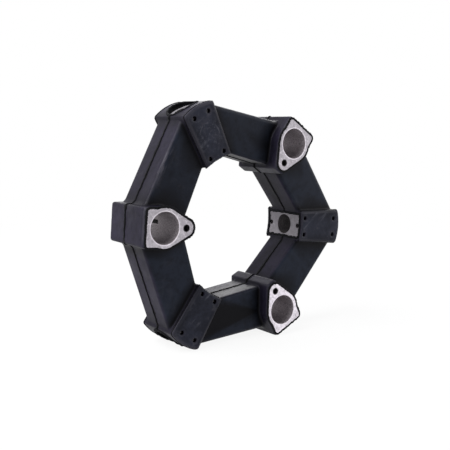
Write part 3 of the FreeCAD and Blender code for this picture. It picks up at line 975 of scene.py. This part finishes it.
class COUPLING_OT_rubber_body(bpy.types.Operator):
    """Makes the moulded rubber, with softly rounded edges and corners, in place of the plain ring"""
    bl_idname = "coupling.rubber_body"
    bl_label = "Make the rubber"

    def execute(self, context):
        settings = context.scene.coupling_body
        solid, edges = whole_solid()
        skin = with_modifier(solid, "REMESH", mode="VOXEL", voxel_size=settings.voxel)
        skin = with_modifier(skin, "SMOOTH", factor=0.5, iterations=settings.softness)
        lay_on_solids(skin, edges, settings)
        share = settings.triangles / (2.0 * len(skin.polygons))
        skin = with_modifier(skin, "DECIMATE", ratio=min(1.0, share))
        skin.name = "rubber_body"
        keep_in_box(skin)
        mark_edges(skin)
        rubber = material_of("satin_rubber", rubber_material, context.scene.coupling)
        piece = finish_piece("rubber_body", skin, rubber)
        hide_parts(RING)
        return {"FINISHED"}


class COUPLING_OT_parting_flash(bpy.types.Operator):
    """Lays the jagged parting line round the rubber at half its depth"""
    bl_idname = "coupling.parting_flash"
    bl_label = "Add the parting line"

    def execute(self, context):
        settings = context.scene.coupling_flash
        opening = 13.05 * MM
        crown = 100.0 * MM
        pairs = []
        for pair in section(RING, Vector((0, 0, 0)), Vector((0, 1, 0))):
            point = middle(pair)
            in_opening = False
            for place in PLACES_RADIAL:
                across, along = across_axis(point, place)
                in_opening = in_opening or (across < opening and along > crown)
            if not in_opening and not on_a_seat(point):
                pairs.append(pair)
        found = [chain for chain in chains(pairs) if length_of(chain) > 1.0 * MM]
        dark = material_of("torn_rubber", flash_material)
        flash("parting_flash", found, dark, step=0.7 * MM, radius=settings.parting_radius,
              unevenness=0.7, grain=330.0, seed=settings.seed, jag=(0.4 * MM, 2.3 * MM, 0.4 * MM))
        return {"FINISHED"}


class COUPLING_OT_flange_lips(bpy.types.Operator):
    """Adds the torn rubber lips round the axial flanges"""
    bl_idname = "coupling.flange_lips"
    bl_label = "Add the flange lips"

    def execute(self, context):
        settings = context.scene.coupling_flash
        dark = material_of("torn_rubber", flash_material)
        for index, place in enumerate(PLACES_AXIAL):
            outline = pushed_out(flange_cuts(place)[0], 0.90 * MM)
            flash(f"flange_lip_{place}", [outline], dark, step=0.5 * MM, radius=settings.lip_radius * 1.75,
                  unevenness=0.45, grain=720.0, seed=settings.seed + index,
                  jag=(2.1 * MM, 0.25 * MM, 2.1 * MM), spare=0.06 * MM)
        return {"FINISHED"}


class COUPLING_OT_hub_lips(bpy.types.Operator):
    """Adds the torn rubber lips round the radial bushes' inner faces"""
    bl_idname = "coupling.hub_lips"
    bl_label = "Add the hub lips"

    def execute(self, context):
        settings = context.scene.coupling_flash
        dark = material_of("torn_rubber", flash_material)
        for index, place in enumerate(PLACES_RADIAL):
            mesh = welded(f"radial_bush_{place}")
            reaches = [math.hypot(vert.co.x, vert.co.z) for vert in mesh.verts]
            hub = max(reach for reach in reaches if reach < HUB_RADIUS + 0.3 * MM)

            def on_hub(face):
                return all(abs(math.hypot(v.co.x, v.co.z) - hub) < 0.05 * MM for v in face.verts)

            pairs = []
            for edge in mesh.edges:
                if sum(on_hub(face) for face in edge.link_faces) == 1:
                    pairs.append((edge.verts[0].co.copy(), edge.verts[1].co.copy()))
            points, closed = max(chains(pairs), key=length_of)
            centre = centre_of((points, closed))
            outline = [point + (point - centre).normalized() * 0.15 * MM for point in points], closed
            axis = radial_axis(place)
            mesh.free()
            flash(f"hub_lip_{place}", [outline], dark, step=0.5 * MM, radius=settings.lip_radius * 1.65,
                  unevenness=0.70, grain=380.0, seed=settings.seed + 10 + index,
                  jag=Vector((abs(axis.z), 1.0, abs(axis.x))) * 3.2 * MM)
        return {"FINISHED"}


class COUPLING_OT_opening_lips(bpy.types.Operator):
    """Adds the rough rims round the openings for the bolts' heads"""
    bl_idname = "coupling.opening_lips"
    bl_label = "Add the opening rims"

    def execute(self, context):
        settings = context.scene.coupling_flash
        dark = material_of("torn_rubber", flash_material)
        mesh = welded(RING)
        seat = 106.5 * MM
        for index, place in enumerate(PLACES_RADIAL):
            pairs = []
            for edge in mesh.edges:
                ends = [across_axis(vert.co, place) for vert in edge.verts]
                if all(abs(across - 13.0 * MM) < 0.05 * MM and along > seat for across, along in ends):
                    if edge.calc_face_angle(0.0) > SHARP_ANGLE:
                        pairs.append((edge.verts[0].co.copy(), edge.verts[1].co.copy()))
            flash(f"opening_rim_{place}", chains(pairs), dark, step=0.6 * MM,
                  radius=settings.lip_radius * 1.7, unevenness=0.6, grain=300.0,
                  seed=settings.seed + 20 + index, jag=(2.2 * MM, 2.2 * MM, 2.2 * MM))
        mesh.free()
        return {"FINISHED"}


class COUPLING_OT_plate_seams(bpy.types.Operator):
    """Adds the seams that the mould's front and back plates left round the radial blocks"""
    bl_idname = "coupling.plate_seams"
    bl_label = "Add the plate seams"

    def execute(self, context):
        settings = context.scene.coupling_flash
        dark = material_of("torn_rubber", flash_material)
        long_enough = 60.0 * MM
        found = []
        for level in (SEAM_DEPTH - BACK, BACK - SEAM_DEPTH):
            for chain in chains(section(RING, Vector((0, level, 0)), Vector((0, 1, 0)))):
                point = chain[0][0]
                across = min(across_axis(Vector((point.x, 0, point.z)), place)[0] for place in PLACES_RADIAL
                             if point.dot(radial_axis(place)) > 0)
                if length_of(chain) > long_enough and across < 15.5 * MM:
                    found.append(chain)
        flash("plate_seams", found, dark, step=0.8 * MM, radius=0.42 * MM, unevenness=0.6,
              grain=260.0, seed=settings.seed + 30, jag=(0.2 * MM, 0.8 * MM, 0.2 * MM))
        return {"FINISHED"}


class COUPLING_OT_slot_rubber(bpy.types.Operator):
    """Shows the rubber that fills a slot in the wall of the left bore"""
    bl_idname = "coupling.slot_rubber"
    bl_label = "Add the filled slot"

    def execute(self, context):
        settings = context.scene.coupling_slot
        centre = Vector(mounts["axial_bore_left"]["pos_m"])
        outwards = Vector((centre.x, 0, centre.z)).normalized()
        aside = Vector((-outwards.z, 0, outwards.x))
        bore = BORE_RADIUS
        steps = 16
        made = bmesh.new()
        rows = []
        for i in range(steps + 1):
            row = []
            for j in range(steps + 1):
                across = 2 * i / steps - 1
                along = 2 * j / steps - 1
                edge = max(abs(across), abs(along))
                rag = noise.noise(Vector((across * 2.1, along * 2.1, settings.seed))) * 0.18
                turn = settings.turn + (across + rag * along) * settings.width / bore / 2
                level = settings.level + (along + rag * across) * settings.length / 2
                height = bore - settings.proud + (edge ** 6) * 3 * settings.proud
                place = outwards * (-height * math.cos(turn)) + aside * (height * math.sin(turn))
                row.append(made.verts.new((centre.x + place.x, level, centre.z + place.z)))
            rows.append(row)
        for first, second in zip(rows, rows[1:]):
            for j in range(steps):
                made.faces.new((first[j], second[j], second[j + 1], first[j + 1]))
        made.normal_update()
        for face in made.faces:
            inwards = centre - face.calc_center_median()
            if face.normal.dot(Vector((inwards.x, 0, inwards.z))) < 0:
                face.normal_flip()
        mesh = bpy.data.meshes.new("slot_rubber")
        made.to_mesh(mesh)
        made.free()
        finish_piece("slot_rubber", mesh, material_of("torn_rubber", flash_material))
        return {"FINISHED"}


class COUPLING_OT_stage(bpy.types.Operator):
    """Makes the floor, the lamps, the world and the camera"""
    bl_idname = "coupling.stage"
    bl_label = "Make the stage"

    def execute(self, context):
        settings = context.scene.coupling_stage
        low, high = cad_box
        mesh = bpy.data.meshes.new("floor")
        half = settings.floor_size / 2
        corners = [(-half, -half), (half, -half), (half, half), (-half, half)]
        mesh.from_pydata([(x, y, low.z) for x, y in corners], [], [(0, 1, 2, 3)])
        mesh.materials.append(floor_material(settings))
        floor = bpy.data.objects.new("floor", mesh)
        context.scene.collection.objects.link(floor)

        for name, place, size, share in LAMPS:
            data = bpy.data.lights.new(name, "AREA")
            data.shape = "SQUARE"
            data.size = size
            data.energy = settings.light_power * share
            lamp = bpy.data.objects.new(name, data)
            lamp.location = place
            lamp.rotation_euler = (-Vector(place)).to_track_quat("-Z", "Y").to_euler()
            context.scene.collection.objects.link(lamp)

        world = bpy.data.worlds.new("studio")
        world.use_nodes = True
        tree = world.node_tree
        light = tree.nodes["Background"]
        white = tree.nodes.new("ShaderNodeBackground")
        white.inputs["Color"].default_value = (1.0, 1.0, 1.0, 1.0)
        white.inputs["Strength"].default_value = 1.0
        light.inputs["Color"].default_value = (0.97, 0.97, 1.0, 1.0)
        light.inputs["Strength"].default_value = settings.world_level
        seen = tree.nodes.new("ShaderNodeLightPath")
        blend = tree.nodes.new("ShaderNodeMixShader")
        direct = seen.outputs["Is Camera Ray"]
        for ray in ("Is Glossy Ray", "Is Transmission Ray"):
            largest = tree.nodes.new("ShaderNodeMath")
            largest.operation = "MAXIMUM"
            tree.links.new(direct, largest.inputs[0])
            tree.links.new(seen.outputs[ray], largest.inputs[1])
            direct = largest.outputs["Value"]
        tree.links.new(direct, blend.inputs["Fac"])
        tree.links.new(light.outputs["Background"], blend.inputs[1])
        tree.links.new(white.outputs["Background"], blend.inputs[2])
        tree.links.new(blend.outputs["Shader"], tree.nodes["World Output"].inputs["Surface"])
        context.scene.world = world

        data = bpy.data.cameras.new("camera")
        data.sensor_width = SENSOR
        data.lens = FOCAL_PIXELS / IMAGE_SIZE * SENSOR
        data.shift_x = -CENTRE_PIXELS[0] / IMAGE_SIZE
        data.shift_y = CENTRE_PIXELS[1] / IMAGE_SIZE
        data.clip_start = 0.01
        camera = bpy.data.objects.new("camera", data)
        context.scene.collection.objects.link(camera)
        azimuth, elevation, roll = (math.radians(angle) for angle in CAMERA_ANGLES)
        back = Vector((math.sin(azimuth) * math.cos(elevation),
                       -math.cos(azimuth) * math.cos(elevation), math.sin(elevation)))
        right = Vector((math.cos(azimuth), math.sin(azimuth), 0.0))
        up = back.cross(right)
        tilted_right = right * math.cos(roll) + up * math.sin(roll)
        tilted_up = up * math.cos(roll) - right * math.sin(roll)
        turn = Matrix((tilted_right, tilted_up, back)).transposed()
        rest = Matrix.Rotation(-ring_turn(), 3, "Y")
        place = Matrix.Translation(rest @ (back * CAMERA_DISTANCE) + CAMERA_TARGET)
        camera.matrix_world = place @ (rest @ turn).to_4x4()
        context.scene.camera = camera
        context.scene.view_settings.view_transform = "Standard"
        return {"FINISHED"}


# Camera of the photograph, for a ring whose right block lies level

CAMERA_ANGLES = (-37.29, 5.07, 3.65)
CAMERA_DISTANCE = 618.84 * MM
CAMERA_TARGET = Vector((0.0, -2.0 * MM, 0.0))
CENTRE_PIXELS = (5.30, -0.95)
FOCAL_PIXELS = 726.67
IMAGE_SIZE = 450.0
SENSOR = 36.0

# Lamps: name, place in metres, size and share of the power

LAMPS = (
    ("lamp_left", (-0.80, 0.08, 0.90), 0.9, 1.0),
    ("lamp_right", (0.95, -0.55, 0.45), 0.9, 0.23),
    ("lamp_behind", (0.80, 0.80, 0.50), 0.9, 0.35),
)


def ring_turn():
    """The ring's turn from level, from +X towards +Z."""
    axis = radial_axis("right")
    return math.atan2(axis.z, axis.x)


def ring_search_tree():
    mesh = frame["nodes"][RING].data
    points = [vert.co.copy() for vert in mesh.vertices]
    faces = [list(face.vertices) for face in mesh.polygons]
    return BVHTree.FromPolygons(points, faces)


ring_tree = ring_search_tree()

OPERATORS = (
    COUPLING_OT_finishes,
    COUPLING_OT_rubber_body,
    COUPLING_OT_parting_flash,
    COUPLING_OT_plate_seams,
    COUPLING_OT_flange_lips,
    COUPLING_OT_hub_lips,
    COUPLING_OT_opening_lips,
    COUPLING_OT_slot_rubber,
    COUPLING_OT_stage,
)
GROUPS = (
    ("coupling", CouplingSettings),
    ("coupling_body", BodySettings),
    ("coupling_flash", FlashSettings),
    ("coupling_slot", SlotSettings),
    ("coupling_stage", StageSettings),
)


class COUPLING_PT_panel(bpy.types.Panel):
    """Lists the steps that dress the coupling"""
    bl_idname = "COUPLING_PT_panel"
    bl_label = "Shaft coupling"
    bl_space_type = "VIEW_3D"
    bl_region_type = "UI"
    bl_category = "Coupling"

    def draw(self, context):
        for operator in OPERATORS:
            self.layout.operator(operator.bl_idname)
        for name, group in GROUPS:
            box = self.layout.box()
            for key in group.__annotations__:
                box.prop(getattr(context.scene, name), key)


def register():
    for name, group in GROUPS:
        bpy.utils.register_class(group)
        setattr(bpy.types.Scene, name, PointerProperty(type=group))
    for operator in OPERATORS:
        bpy.utils.register_class(operator)
    bpy.utils.register_class(COUPLING_PT_panel)


def unregister():
    bpy.utils.unregister_class(COUPLING_PT_panel)
    for operator in reversed(OPERATORS):
        bpy.utils.unregister_class(operator)
    for name, group in reversed(GROUPS):
        delattr(bpy.types.Scene, name)
        bpy.utils.unregister_class(group)


def main():
    register()
    for operator in OPERATORS:
        group, name = operator.bl_idname.split(".")
        getattr(getattr(bpy.ops, group), name)()


if __name__ == "__main__":
    main()
